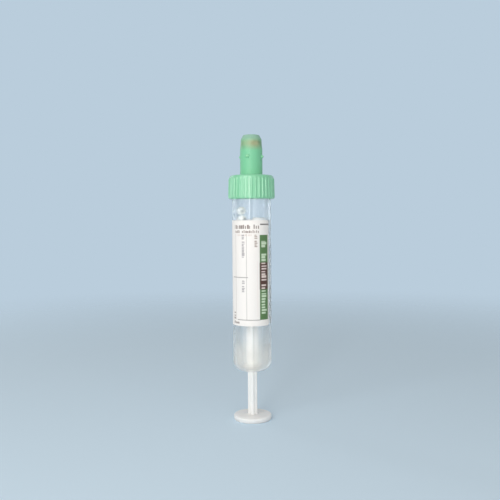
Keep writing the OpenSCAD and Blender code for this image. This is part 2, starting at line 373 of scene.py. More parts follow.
levels = outline(disc, rod, np.roll(piston, -np.argmin(piston[:, 0] + piston[:, 1]), 0))
crossed = np.zeros(len(levels), bool)
crossed[len(disc):len(disc) + len(rod)] = True
print("plunger:", len(levels), "levels,", crossed.sum(), "of them cross-shaped")

# %% Plunger mesh
angle, radius, height = turned(levels, 256)
radius = np.where(crossed[:, None], cross(angle, np.maximum(radius, 0.01)), radius)
plunger = revolved("plunger_moulding", angle, radius, height, along=False)
placed(plunger, "plunger", "plunger_plastic", "plunger")

# %% [markdown]
# ## The seal and the membrane
#
# Both are rubber. The seal has two lips that press on the bore with a hollow between them. The membrane is
# a plug that a needle goes through, with a dished top that guides the needle to the middle. Bevelled
# cylinders could do, but a turned outline gives the lips and the dish their exact heights.

# %% Seal and membrane
seal_in = groove_r + 0.05
hollow = seal_r - 0.35
step = 0.45      # a lip slopes out over one step, stands straight for one and slopes back over one
lips = softened([
    (seal_in, seal_z, 0.1), (hollow, seal_z, 0.1), (seal_r, seal_z + step, 0.2),
    (seal_r, seal_z + 2 * step, 0.15), (hollow, seal_z + 3 * step, 0.3),
    (hollow, seal_top - 3 * step, 0.3), (seal_r, seal_top - 2 * step, 0.15),
    (seal_r, seal_top - step, 0.2), (hollow, seal_top, 0.1), (seal_in, seal_top, 0.1),
])
seal = placed(revolved("piston_seal_ring", *turned(lips, 128)), "seal", "seal_rubber", "piston_seal")

edge = 0.15
dish_r = 2.8
dish_depth = 0.5
dish = arc(0, membrane_top - dish_depth + dish_r, dish_r, 270, 304.7, 8)
plug = outline(
    (0, membrane_z),
    arc(membrane_r - edge, membrane_z + edge, edge, 270, 360, 4),
    arc(membrane_r - edge, membrane_top - edge, edge, 0, 90, 4),
    dish[::-1],
)
membrane = revolved("needle_membrane", *turned(plug, 96), along=False)
placed(membrane, "stopper", "membrane_rubber", "membrane_stopper")

# %% [markdown]
# ## The screw cap
#
# One moulding again: a collar with 36 grip ribs, a sealing ring that hangs into the tube, a stem with
# four lugs for the needle adapter, and a channel with a pocket for the membrane. Ribs and lugs could be
# added with booleans, but those leave ragged faces. Here they are hills on the radius of one turned skin.

# %% Outline of the cap
cap_top = stem_z - 15.4
plate_z = cap_top - 0.75
rib_out = 0.24
collar_low = cap_r - rib_out
collar_high = collar_low - 0.25
skirt_in = tube_r + 0.5
stem_r = 4.28
tip_r = 3.98
entry_r = 2.3
channel_r = 2.5
room = 0.05          # round the membrane
pocket_r = membrane_r + room
pocket_low, pocket_high = membrane_z - room, membrane_top + room
ring_r = bore_r - 0.08
ring_wall = 0.8
ring_depth = 4
lug_low = cap_top + 6.3
lug_high = lug_low + 1.75
fine_low, fine_high = lug_low - 0.3, lug_high + 0.3    # cut finer, to carry the lugs
cap_outline = softened([
    # the collar's outside and top, the stem and its narrower tip
    (collar_low, skirt_z, 0.3), (collar_high, cap_top, 0.9), (stem_r, cap_top, 0.5),
    (stem_r, fine_low, 0), (stem_r, fine_high, 0), (stem_r, stem_z - 5.6, 14),
    (tip_r, stem_z - 3.0, 14), (tip_r, stem_z - 1.7, 0.9), (tip_r - 0.9, stem_z, 0.45),
    # the entry for the needle, the membrane's pocket and the channel
    (entry_r, stem_z, 0.25), (entry_r, pocket_high, 0.1), (pocket_r, pocket_high, 0),
    (pocket_r, pocket_low, 0), (channel_r, pocket_low, 0.15), (channel_r, plate_z, 0.3),
    # the sealing ring and the collar's inside
    (ring_r - ring_wall, plate_z, 0.2), (ring_r - ring_wall, plate_z - ring_depth, 0.1),
    (ring_r - 0.4, plate_z - ring_depth, 0.15), (ring_r, plate_z - ring_depth + 0.6, 0.2),
    (ring_r, plate_z, 0.1), (skirt_in, plate_z, 0.25), (skirt_in, skirt_z, 0.25),
], 4)
cap_outline = divided(cap_outline, skirt_z, cap_top, 0.4, least_r=collar_high - 0.1)
cap_outline = divided(cap_outline, skirt_z, cap_top, 0.25, skirt_in - 0.01, skirt_in + 0.01)
cap_outline = divided(cap_outline, fine_low, fine_high, 0.12, least_r=stem_r - 0.01)
print("cap outline:", len(cap_outline), "points")

# %% Hills on the cap: grip ribs, lugs and the thread inside
rib_n = 36
rib_r = 0.36
lug_n = 4
lug_out = 0.62
lug_w = 1.7
lug_flat = 0.3
lug_turn = math.radians(-90 - 20)


def off_middle(angle, count, first=0.0):
    """Angle from the nearest of count evenly spaced middles, as a signed number."""
    pitch = 2 * np.pi / count
    return np.mod(angle - first + pitch / 2, pitch) - pitch / 2


def ribs(angle, radius, z):
    """Grip ribs: a circle of radius rib_r whose middle lies rib_r - rib_out deep, so its height is
    sqrt(rib_r^2 - d^2) minus that depth, at distance d from the rib's middle. They taper at both ends."""
    d = radius * off_middle(angle, rib_n)
    hill = np.sqrt(np.maximum(rib_r ** 2 - d ** 2, 0)) - (rib_r - rib_out)
    taper = ramp(z, skirt_z + 0.2, skirt_z + 0.6) * (1 - ramp(z, cap_top - 1.45, cap_top - 0.9))
    return np.maximum(hill, 0) * taper


def lugs(angle, radius, z):
    """Lugs for the needle adapter: a hill across times a hill upwards, steeper below than above."""
    d = radius * off_middle(angle, lug_n, lug_turn)
    across = 1 - ramp(np.abs(d), lug_flat, lug_w / 2)
    upward = ramp(z, lug_low, lug_low + 0.7) * (1 - ramp(z, lug_low + 0.8, lug_high))
    return lug_out * across * upward


print("ribs stand", rib_out, "mm and lugs", lug_out, "mm above the skin")

# %% Cap mesh
angle, radius, height = turned(cap_outline, rib_n * 12)    # twelve columns for each rib
outer = radius > collar_high - 0.02
inner = np.abs(radius - skirt_in) < 0.005
on_stem = (np.abs(radius - stem_r) < 0.01) & (np.abs(height - (lug_low + lug_high) / 2) < 1.25)
groove = thread(angle, height, thread_start - 0.5 * lead, turns=1.9, width=0.5, height=0.34)
groove = groove * ramp(height, skirt_z + 0.5, skirt_z + 1.1)
groove = groove * (1 - ramp(height, plate_z - 1.2, plate_z - 0.6))
radius = radius + np.where(outer, ribs(angle, radius, height), 0)
radius = radius + np.where(on_stem, lugs(angle, radius, height), 0)
radius = radius - np.where(inner, groove, 0)
cap = placed(revolved("green_screw_cap", angle, radius, height), "cap", "cap_plastic", "screw_cap")

# %% [markdown]
# ## The gel
#
# The gel was put in through a nozzle and is too stiff to level out: it climbs the wall a little, a mound
# stands on one side, and it dips under the beads. Sculpting could do it, but a height over the plane, on a
# polar grid of radius and angle, fits bore and beads exactly. Its rim runs down the wall to the piston.

# %% Where the beads lie
beads = [name for name in sorted(frame["nodes"]) if name.startswith("bead_")]
bead_at = {name: np.mean(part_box(name), 0) / MM for name in beads}
bead_r = (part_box(beads[0])[1].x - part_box(beads[0])[0].x) / 2 / MM
for name, at in bead_at.items():
    print(name, "at", at.round(2), "radius", round(bead_r, 2))

# %% Height of the gel's surface
gel_level = gel_peak - 2.3
mound_x = 2.8


def gel_height(x, y):
    """Level, plus a meniscus that fades within a millimetre of the wall, plus a round mound with a flat top,
    plus a faint swell. Under each bead it isn't higher than the lower half of the bead's ball."""
    r = np.hypot(x, y)
    from_mound = np.hypot(x - mound_x, 0.92 * y)
    mound = (gel_peak - gel_level - 0.06) * (1 - ramp(from_mound, 1.9, 4.0))
    swell = 0.05 * np.sin(1.3 * x + 0.4) * np.cos(1.1 * y) - 0.03
    height = gel_level + swell + 0.3 * np.exp((r - gel_r) / 0.35) + mound
    for middle in bead_at.values():
        near = np.hypot(x - middle[0], y - middle[1]) / (bead_r + 0.06)
        under = middle[2] - (bead_r + 0.04) * np.sqrt(np.clip(1 - near ** 2, 0, 1))
        height = np.where(near < 1, np.minimum(height, under), height)
    return np.minimum(height, gel_peak)


print("gel: middle and mound at", gel_height(np.array((0, mound_x)), 0).round(2), "mm")

# %% Gel mesh
across = np.concatenate((np.linspace(gel_r, gel_r - 0.8, 9), np.linspace(gel_r - 0.9, 0, 50)))
angle, radius = np.meshgrid(np.linspace(0, 2 * np.pi, 180, endpoint=False), across)
x, y = radius * np.cos(angle), radius * np.sin(angle)
z = gel_height(x, y)
foot = np.array((0, gel_r - 0.3, gel_r - 0.09, gel_r))[:, None]
foot_rise = np.array((0, 0, 0.09, 0.3))[:, None]
x = np.vstack((foot * np.cos(angle[0]), x))
y = np.vstack((foot * np.sin(angle[0]), y))
z = np.vstack((np.tile(gel_foot + foot_rise, angle.shape[1]), z))
gel = placed(surface("separating_gel", x, y, z, along=False), "plunger", "gel", "gel")

# %% [markdown]
# ## The beads
#
# Five plastic beads carry the additive. A stock sphere would be too perfect for them: each is a touch
# out of round and has a small sink mark where it cooled last. The mark is painted dark as painted shade,
# for the darker middle that a milky ball shows, so how far a point lies in the mark is kept as a UV
# coordinate, and the material paints with it.

# %% Bead meshes
mark_depth = 0.12    # of the bead's radius
mark_width = 22      # degrees


def bead_skin(name, middle, radius, turn):
    """A ball in longitude and latitude whose radius is lowered by a faint three-lobed waviness and by a
    sink mark, which fades as exp(-(angle / mark_width)^2) around the way it faces."""
    long = np.linspace(0, 2 * np.pi, 48, endpoint=False)
    long, lat = np.meshgrid(long, np.radians(np.linspace(-90, 90, 33)))
    way = np.stack((np.cos(lat) * np.cos(long), np.cos(lat) * np.sin(long), np.sin(lat)))
    facing = np.array((math.sin(turn), -math.cos(turn), 0))
    off = np.degrees(np.arccos(np.clip(np.tensordot(facing, way, 1), -1, 1)))
    wave = 0.008 * (1 - np.cos(lat) ** 2 * np.cos(3 * long + 5 * turn))
    mark = np.exp(-(off / mark_width) ** 2)
    r = radius * (0.995 - wave - mark_depth * mark)
    x, y, z = middle[:, None, None] + r * way
    return surface(name, x, y, z, along=False, flat=(mark, lat))


for number, name in enumerate(beads):
    bead = bead_skin("coated_" + name, bead_at[name], bead_r, 0.2 + 0.5 * number)
    placed(bead, "plunger", "bead_plastic", name)

# %% [markdown]
# ## The label
#
# A printed film is wrapped round the barrel and leaves a clear window on the right, through which the
# filling is watched. It could be a single face, but a sheet with an outside and an inside has an edge that
# shows. Across it a point is an angle, upwards a height. Its corners are cut round: the lower and upper
# outlines bend inwards by c - sqrt(c^2 - (c - d)^2), at distance d from the sheet's end. The unrolled sheet,
# in millimetres, is kept as a UV map, so that the print can be laid out with a ruler.

# %% Label mesh
wrap = math.radians(150)
label_turn = math.radians(-92)
corner = 0.8
sheet_in = tube_r + 0.02

end = np.linspace(0, corner, 14) / label_r
between_ends = np.linspace(-wrap + end[-1], wrap - end[-1], 150)[1:-1]
turns = np.concatenate((-wrap + end, between_ends, wrap - end[::-1]))
up = np.linspace(0, 1, 24)
side = np.concatenate((np.ones_like(up), np.zeros_like(up)))
turns, share = np.meshgrid(turns, np.concatenate((up, up[::-1])))
side = np.tile(side[:, None], turns.shape[1])

from_end = (wrap - np.abs(turns)) * label_r
cut = corner - np.sqrt(np.maximum(corner ** 2 - np.maximum(corner - from_end, 0) ** 2, 0))
tall = label_top - label_z
height = label_z + cut + share * (tall - 2 * cut)
thick = (label_r - sheet_in) * ramp(from_end, -0.001, 0.12)
radius = sheet_in + side * thick
x, y = radius * np.sin(turns + label_turn), -radius * np.cos(turns + label_turn)
flat = ((turns + label_turn) * label_r, height - label_z)
label = surface("printed_label", x, y, height, around=False, flat=flat)
placed(label, "tube", "label_film", "label")
print(f"label: {2 * wrap * label_r:.1f} mm across, {tall:.1f} mm tall")

# %% [markdown]
# ## Materials: small helpers for node trees
#
# A material is a chain of nodes in front of one Principled shader. Small helpers keep the chains readable:
# one makes a node and wires its inputs, others do sums, mix two colours or spread a range. Colours are
# written as on a paint chart, from 0 to 255, and turned into the linear values that light works with.

# %% Make nodes, mix colours, write colours
def node(tree, kind, wires=(), **settings):
    """A new node of this kind. wires gives inputs by name or number: a socket is linked, a value is set."""
    made = tree.nodes.new("ShaderNode" + kind)
    for key, value in settings.items():
        setattr(made, key, value)
    for key, value in dict(wires).items():
        if isinstance(value, bpy.types.NodeSocket):
            tree.links.new(value, made.inputs[key])
        else:
            made.inputs[key].default_value = value
    return made


def sums(tree, operation, *values, clamp=False):
    """Result of one Math node on sockets or numbers."""
    return node(tree, "Math", enumerate(values), operation=operation, use_clamp=clamp).outputs[0]


def mixed(tree, share, first, second):
    """Colour that goes from the first to the second as share goes from 0 to 1."""
    return node(tree, "Mix", {0: share, 6: first, 7: second}, data_type="RGBA").outputs[2]


def spread(tree, value, low, high, first=0.0, last=1.0, **settings):
    """Number that goes from first to last as value goes from low to high, and stays there outside them."""
    return node(tree, "MapRange", {0: value, 1: low, 2: high, 3: first, 4: last}, **settings).outputs[0]


def paint(red, green, blue):
    """Linear colour of a paint-chart colour: ((c + 0.055) / 1.055) ^ 2.4, with c from 0 to 1."""
    return tuple(((c / 255 + 0.055) / 1.055) ** 2.4 for c in (red, green, blue)) + (1.0,)


print("mid grey in linear light:", round(paint(128, 128, 128)[0], 3))

# %% Groups, materials and closures
def group(name, inputs, outputs):
    """An empty node group with named inputs {name: (kind, value)} and outputs {name: kind}."""
    tree = bpy.data.node_groups.new(name, "ShaderNodeTree")
    for title, (kind, value) in inputs.items():
        made = tree.interface.new_socket(title, in_out="INPUT", socket_type="NodeSocket" + kind)
        made.default_value = value
    for title, kind in outputs.items():
        tree.interface.new_socket(title, in_out="OUTPUT", socket_type="NodeSocket" + kind)
    return tree, tree.nodes.new("NodeGroupInput").outputs, tree.nodes.new("NodeGroupOutput").inputs


def shaded(name, **sockets):
    """A new material with one Principled shader, whose plain values are set here. Returns tree and shader."""
    material = bpy.data.materials.new(name)
    material.use_nodes = True
    tree = material.node_tree
    tree.nodes.clear()
    shader = node(tree, "BsdfPrincipled", {key.replace("_", " "): value for key, value in sockets.items()})
    tree.links.new(shader.outputs[0], tree.nodes.new("ShaderNodeOutputMaterial").inputs[0])
    return material, tree, shader


def milky(name, weight, scale, ior):
    """A material in which light also wanders about scale millimetres, with this weight."""
    return shaded(name, Subsurface_Weight=weight, Subsurface_Scale=scale * MM,
                  Subsurface_Radius=(1, 1, 1), IOR=ior)


def feed(tree, shader, **sockets):
    """Links sockets to the shader's inputs by name."""
    for key, value in sockets.items():
        tree.links.new(value, shader.inputs[key.replace("_", " ")])


def finished(tree, closure):
    """Wires a closure to the material's output, in the Principled shader's place."""
    tree.links.new(closure, next(n for n in tree.nodes if n.type == "OUTPUT_MATERIAL").inputs[0])


def blended(tree, share, first, second):
    """Closure that goes from the first to the second as share goes from 0 to 1."""
    return node(tree, "MixShader", {0: share, 1: first, 2: second}).outputs[0]


def lamps_pass(tree, closure, tint):
    """The closure for every ray but those on their way to a lamp, which pass with a tint."""
    passing = node(tree, "BsdfTransparent", {0: (*tint, 1)}).outputs[0]
    return blended(tree, node(tree, "LightPath").outputs["Is Shadow Ray"], closure, passing)


def wear(piece, material):
    """The piece's one material."""
    piece.data.materials.append(material)
    print(piece.name, "wears", material.name)


# %% [markdown]
# ## Two effects that the materials share
#
# **Moulded skin.** Injection-moulded plastic isn't one flat colour: it flowed up the mould, so its tone
# drifts in long soft streaks, and the mould's fine texture breaks up the gloss. One group gives tone,
# roughness and height, and each plastic sets its own strength. Images could carry it, but noise in object
# coordinates needs no unwrapping and has no seam.
#
# **Between.** A mask that is 1 between two levels and fades outside them. On the cap it marks the collar,
# the lugs and the membrane behind the stem's wall, and on the label each printed field and stroke.

# %% The moulded skin group
skin, given, result = group(
    "moulded_skin",
    {"Colour": ("Color", (1, 1, 1, 1)), "Streak Colour": ("Color", (1, 1, 1, 1)), "Roughness": ("Float", 0.4),
     "Roughness Drift": ("Float", 0.1), "Streak Size": ("Float", 300.0), "Grain Size": ("Float", 6000.0)},
    {"Colour": "Color", "Roughness": "Float", "Height": "Float"},
)
place = node(skin, "TexCoord").outputs["Object"]
drawn = node(skin, "Mapping", {"Vector": place, "Scale": (1, 1, 0.22)}).outputs[0]
streaks = node(skin, "TexNoise", {"Vector": drawn, "Scale": given["Streak Size"], "Detail": 3.0}).outputs[0]
grain = node(skin, "TexNoise", {"Vector": place, "Scale": given["Grain Size"], "Detail": 2.0}).outputs[0]
drift = spread(skin, streaks, 0.35, 0.65)
skin.links.new(mixed(skin, drift, given["Colour"], given["Streak Colour"]), result["Colour"])
uneven = sums(skin, "MULTIPLY", sums(skin, "SUBTRACT", grain, 0.5), given["Roughness Drift"])
skin.links.new(sums(skin, "ADD", given["Roughness"], uneven, clamp=True), result["Roughness"])
skin.links.new(sums(skin, "ADD", grain, sums(skin, "MULTIPLY", streaks, 0.5)), result["Height"])
print("group", skin.name, "with", len(skin.nodes), "nodes")

# %% The between group
between, given, result = group(
    "between",
    {"Value": ("Float", 0.0), "Low": ("Float", 0.0), "High": ("Float", 1.0), "Fade": ("Float", 0.1)},
    {"Mask": "Float"},
)
rising = sums(between, "DIVIDE", sums(between, "SUBTRACT", given["Value"], given["Low"]), given["Fade"])
falling = sums(between, "DIVIDE", sums(between, "SUBTRACT", given["High"], given["Value"]), given["Fade"])
rising = sums(between, "ADD", rising, 0.5, clamp=True)
falling = sums(between, "ADD", falling, 0.5, clamp=True)
between.links.new(sums(between, "MULTIPLY", rising, falling), result["Mask"])
print("group", between.name, "with", len(between.nodes), "nodes")

# %% Use the two groups
def inside(tree, value, low, high, fade):
    """Mask of where value lies between low and high, from the between group."""
    wires = {"Value": value, "Low": low, "High": high, "Fade": fade}
    return node(tree, "Group", wires, node_tree=between).outputs[0]


def height_in_mm(tree):
    """Height over the floor in millimetres, from Object coordinates."""
    place = node(tree, "TexCoord").outputs["Object"]
    return sums(tree, "DIVIDE", node(tree, "SeparateXYZ", {0: place}).outputs["Z"], MM)


def moulded(tree, colour, streak, roughness, drift=0.1, streak_size=300.0, grain_size=6000.0):
    """The moulded skin group with one plastic's own values. Returns its outputs."""
    wires = {"Colour": colour, "Streak Colour": streak, "Roughness": roughness, "Roughness Drift": drift,
             "Streak Size": streak_size, "Grain Size": grain_size}
    return node(tree, "Group", wires, node_tree=skin).outputs


def bumped(tree, height, depth):
    """Normal of a surface whose height goes up and down by about depth millimetres."""
    return node(tree, "Bump", {"Height": height, "Distance": depth * MM, "Strength": 1.0}).outputs[0]


def dressed(tree, shader, skin_out, colour, depth):
    """Feeds the shader a colour, and the moulded skin's roughness and bumps of a depth in millimetres."""
    normal = bumped(tree, skin_out["Height"], depth)
    feed(tree, shader, Base_Color=colour, Roughness=skin_out["Roughness"], Normal=normal)


# %% [markdown]
# ## White, green and rubber
#
# The plunger's plastic lets light wander some millimetres inside it, so its ribs and edges never go quite
# dark: that is subsurface scattering. The cap's green does a little of the same. Its stem is thin where the
# membrane sits, so the rubber shows through as a brown band, strongest a little right of the middle and
# weaker at the far right, and above it the empty tip is paler. The collar was polished in the mould, so it
# has a glossy coat, and the stem is rougher. Real light could find the rubber through the wall, but that
# needs a wall that is right to a tenth of a millimetre and many more samples, so the band is painted.

# %% Plunger plastic
material, tree, shader = milky("white_moulded_plastic", 0.85, 3.0, 1.49)
skin_out = moulded(tree, paint(246, 244, 240), paint(240, 240, 238), 0.38)
dressed(tree, shader, skin_out, skin_out["Colour"], 0.004)
wear(plunger, material)

# %% Cap plastic
material, tree, shader = shaded("green_moulded_plastic", Subsurface_Weight=0.1, Subsurface_Scale=0.5 * MM,
                                Subsurface_Radius=(0.8, 1, 0.9), IOR=1.49, Coat_Roughness=0.2, Coat_IOR=1.75)
skin_out = moulded(tree, paint(133, 209, 162), paint(125, 202, 152), 0.34)
z = height_in_mm(tree)
place = node(tree, "TexCoord").outputs["Object"]
on_collar = inside(tree, z, skirt_z - 1, cap_top, 0.8)
plastic = mixed(tree, on_collar, paint(125, 203, 158), skin_out["Colour"])
print("the green is mixed by height")

# %% The membrane behind the stem's wall, and the empty tip
cloud = node(tree, "TexNoise", {"Vector": place, "Scale": 330.0, "Detail": 1.0}).outputs[0]
brown = mixed(tree, spread(tree, cloud, 0.35, 0.65), paint(126, 117, 78), paint(174, 168, 128))
behind = inside(tree, z, membrane_z + 0.7, membrane_top + 0.9, 2.4)
# The brown is strongest a little right of the middle and weaker at the far right.
rightward = node(tree, "SeparateXYZ", {0: place}).outputs["X"]
rising = spread(tree, rightward, -2.0 * MM, 0.6 * MM, 0.5, 0.85)
falling = spread(tree, rightward, 2.2 * MM, 4.0 * MM, 1.0, 0.5)
band_strength_across = sums(tree, "MULTIPLY", rising, falling)
colour = mixed(tree, sums(tree, "MULTIPLY", behind, band_strength_across), plastic, brown)
tip = sums(tree, "MULTIPLY", inside(tree, z, membrane_top + 0.9, stem_z + 2, 1.6), 0.85)
colour = mixed(tree, tip, colour, paint(150, 187, 168))
print("brown from", round(membrane_z + 0.7, 2), "to", round(membrane_top + 0.9, 2), "mm")

# %% Lugs painted paler as a highlight, the collar's coat and the rougher stem
# Painted highlight: where the lugs stand out from the stem, their tips are painted paler.
sideways = node(tree, "VectorMath", {0: place, 1: (1, 1, 0)}, operation="MULTIPLY").outputs[0]
from_axis = node(tree, "VectorMath", {0: sideways}, operation="LENGTH").outputs["Value"]
outside = spread(tree, from_axis, (stem_r + 0.1) * MM, (stem_r + 0.4) * MM)
lug_highlight = sums(tree, "MULTIPLY", outside, inside(tree, z, lug_low, lug_high, 0.2))
colour = mixed(tree, lug_highlight, colour, paint(150, 220, 172))
least_gloss = 0.08
stem_rougher = 0.2
gloss = sums(tree, "ADD", inside(tree, z, skirt_z - 1, cap_top + 0.2, 0.3), least_gloss, clamp=True)
matt = sums(tree, "MULTIPLY_ADD", gloss, -stem_rougher, (1 + least_gloss) * stem_rougher)
rough = sums(tree, "ADD", skin_out["Roughness"], matt)
normal = bumped(tree, skin_out["Height"], 0.004)
feed(tree, shader, Base_Color=colour, Roughness=rough, Coat_Weight=gloss, Normal=normal)
wear(cap, material)

# %% Rubber of the seal and the membrane
def rubber(name, colour, dusty):
    """Matt rubber: the moulded skin with a coarse grain and high roughness."""
    material, tree, shader = shaded(name, IOR=1.52, Specular_IOR_Level=0.35)
    skin_out = moulded(tree, colour, dusty, 0.62, drift=0.2, streak_size=500.0, grain_size=9000.0)
    dressed(tree, shader, skin_out, skin_out["Colour"], 0.008)
    return material


wear(seal, rubber("dark_rubber", paint(84, 86, 90), paint(96, 98, 101)))
wear(membrane, rubber("brown_rubber", paint(122, 110, 92), paint(136, 124, 106)))

# %% [markdown]
# ## Gel and beads
#
# The gel is cloudy: light wanders about a millimetre inside it. The beads are milky and smooth, and light
# goes only some tenths into them. A volume shader could follow that light, but slowly and with grain, so
# subsurface scattering stands in. The sink marks are painted darker by the mask kept in the UV map, as
# painted shade: the darker middle that a milky ball shows.

# %% Gel and bead materials
def kept_pair(tree):
    """The two numbers that each point carries in its UV map, as sockets."""
    return node(tree, "SeparateXYZ", {0: node(tree, "UVMap", uv_map="sheet").outputs[0]}).outputs


material, tree, shader = milky("cloudy_gel", 0.4, 1.2, 1.41)
skin_out = moulded(tree, paint(253, 253, 252), paint(247, 249, 250), 0.24, 0.06, 240.0, 2500.0)
dressed(tree, shader, skin_out, skin_out["Colour"], 0.01)
wear(gel, material)

material, tree, shader = milky("milky_bead_plastic", 0.2, 0.3, 1.55)
skin_out = moulded(tree, paint(241, 244, 241), paint(229, 235, 234), 0.3, 0.1, 700.0, 8000.0)
# Painted shade: the sink mark is painted a dark slate, for the darker middle of a milky ball.
colour = mixed(tree, kept_pair(tree)["X"], skin_out["Colour"], paint(78, 96, 104))
dressed(tree, shader, skin_out, colour, 0.004)
for name in beads:
    wear(bpy.data.objects["coated_" + name], material)

# %% [markdown]
# ## The clear plastic
#
# The barrel bends light like any glass, so it is a Principled shader with transmission. Real clear plastic
# is never as clear as glass, so a little milk is mixed in: matt closures that scatter light back and
# onwards. The base is thickest and cooled slowest, so it holds the most, and higher up it thins out.
# Where the wall is seen at a slant the eye looks through more of it, so there it is milkier and cooler in
# colour. The milk has one upper limit, so that no spot turns solid. Alpha below 1 leaves out part of each
# wall, because four bent surfaces behind each other would swallow too much of what is inside. Lamps would
# still reach the pieces inside too weakly, so for shadow rays the wall is nearly transparent.

# %% Milk in the clear plastic
most_milk = 0.24
material, tree, shader = shaded("clear_moulded_plastic", Transmission_Weight=1.0, IOR=1.49, Alpha=0.6)
z = height_in_mm(tree)
at_base = spread(tree, z, 21.0, 33.0, 0.22, 0.0, interpolation_type="SMOOTHSTEP")
above = spread(tree, z, 26.0, 46.0, 0.11, 0.025, interpolation_type="SMOOTHSTEP")
facing = node(tree, "LayerWeight", {"Blend": 0.5}).outputs["Facing"]
slant = spread(tree, facing, 0.6, 1.0, 0.0, 0.5)
milk = sums(tree, "ADD", sums(tree, "ADD", at_base, above), slant)
milk = sums(tree, "MINIMUM", milk, most_milk)
print("milk: at most", most_milk)

# %% Clear plastic
skin_out = moulded(tree, paint(254, 255, 255), paint(249, 252, 254), 0.04, 0.03, 200.0, 3000.0)
feed(tree, shader, Base_Color=skin_out["Colour"], Roughness=skin_out["Roughness"])
cream, sky = paint(255, 249, 240), paint(226, 243, 255)
haze_colour = mixed(tree, sums(tree, "MULTIPLY", slant, 3.0, clamp=True), cream, sky)
back = node(tree, "BsdfDiffuse", {0: haze_colour}).outputs[0]
onwards = node(tree, "BsdfTranslucent", {0: haze_colour}).outputs[0]
hazy = blended(tree, milk, shader.outputs[0], blended(tree, 0.5, back, onwards))
finished(tree, lamps_pass(tree, hazy, (0.87, 0.84, 0.81)))
wear(tube, material)

# %% [markdown]
# ## The print on the label
#
# The sheet carries fields for writing, thin rules, and a green band with a darker stretch that tells what
# the tube is for. Where a real label has words, this one has rows of short strokes, so that it looks
# printed and says nothing. An image could carry the print, but masks stay sharp at any distance: each field
# is a rectangle on the unrolled sheet, a mask across times a mask upwards. Each ink is mixed over what lies
# under it, in the order of printing. The film is thin, so half of the light from a lamp goes through it.

# %% Fields on the sheet
def degrees_across(angle):
    """Distance across the sheet, in millimetres, of an angle right of the front."""
    return math.radians(angle) * label_r


def field(tree, sheet, left, right, low, high, fade=0.12):
    """Mask of a rectangle on the sheet: left to right in degrees about the tube, low to high in mm up."""
    across = inside(tree, sheet[0], degrees_across(left), degrees_across(right), fade)
    upward = inside(tree, sheet[1], low - label_z, high - label_z, fade)
    return sums(tree, "MULTIPLY", across, upward)


print(f"ten degrees are {degrees_across(10):.2f} mm of the sheet")

# %% Rows of short strokes
def drawn_number(tree, number, seed):
    """A random number from 0 to 1 that belongs to a whole number and a seed."""
    wires = {"W": sums(tree, "ADD", number, seed)}
    return node(tree, "TexWhiteNoise", wires, noise_dimensions="1D").outputs["Value"]


def strokes(tree, sheet, way, left, right, low, high, pitch, seed, duty, word):
    """Mask of a row of short strokes inside a field. way 0 is a row across, way 1 a row upwards. Along the
    row it is cut into cells of one pitch. Each cell holds a stroke of its own height and a width around
    duty, and some cells are empty, mostly at the end of a word of so many cells."""
    box = (degrees_across(left), degrees_across(right), low - label_z, high - label_z)
    along, beside = sheet[way], sheet[1 - way]
    first, last = box[2 * way:2 * way + 2]
    near, far = box[2 - 2 * way:4 - 2 * way]
    cell = sums(tree, "DIVIDE", sums(tree, "SUBTRACT", along, first), pitch)
    number = sums(tree, "FLOOR", cell)
    part = sums(tree, "FRACT", cell)
    broad = sums(tree, "MULTIPLY_ADD", drawn_number(tree, number, seed + 0.3), 0.5, duty - 0.25)
    stroke = inside(tree, part, 0.0, broad, 0.12)
    gap = sums(tree, "GREATER_THAN", drawn_number(tree, number, seed + 0.6), 0.95)
    in_word = sums(tree, "FRACT", sums(tree, "DIVIDE", number, word))
    word_end = sums(tree, "GREATER_THAN", in_word, 1 - 1.1 / word)
    shown = sums(tree, "SUBTRACT", 1.0, sums(tree, "MAXIMUM", gap, word_end))
    tall = sums(tree, "MULTIPLY_ADD", drawn_number(tree, number, seed + 0.9), 0.35, 0.65)
    top = sums(tree, "MULTIPLY_ADD", tall, far - near, near)
    shown = sums(tree, "MULTIPLY", stroke, shown)
    inked = sums(tree, "MULTIPLY", shown, inside(tree, beside, near, top, 0.12))
    return sums(tree, "MULTIPLY", inked, inside(tree, along, first, last, 0.05))


def printed(tree, mask, strength, under, colour):
    """The colour printed over what lies under it, as strongly as told, where the mask is 1."""
    return mixed(tree, sums(tree, "MULTIPLY", mask, strength), under, colour)


# %% Rules and writing fields
material, tree, shader = shaded("printed_film", IOR=1.5, Specular_IOR_Level=0.3)
unrolled = kept_pair(tree)
skin_out = moulded(tree, paint(248, 243, 238), paint(245, 241, 237), 0.55, 0.1, 160.0, 4000.0)
ink = skin_out["Colour"]
grey, black = paint(150, 148, 146), paint(96, 90, 88)
# name: (left, right, low, high), colour, strength
rules = {
    "field rule": ((-16.4, -15.2, 39.7, 72.3), grey, 0.85),
    "left rule": ((-54.6, -52.9, 39.7, 72.3), grey, 0.6),
    "cross rule": ((-68.0, -11.5, 55.7, 56.0), grey, 0.85),
    "foot rule": ((-47.0, 25.0, 39.6, 39.9), grey, 0.9),
    # The dark line near the top right stands for an overlapping edge of the film and the shade along it:
    # painted shade, drawn like a rule.
    "overlap shade line": ((24.6, 62.0, 75.65, 76.1), black, 0.95),
    "pale rule": ((16.0, 17.2, 41.0, 62.0), paint(238, 214, 212), 0.5),
}
for box, colour, strength in rules.values():
    ink = printed(tree, field(tree, unrolled, *box), strength, ink, colour)
print(len(rules), "rules")

# %% Rows of strokes where a label has words
brownish, lighter, faint = paint(128, 112, 106), paint(156, 140, 134), paint(176, 160, 152)
blush, cool, mint = paint(222, 206, 198), paint(162, 158, 162), paint(196, 212, 198)
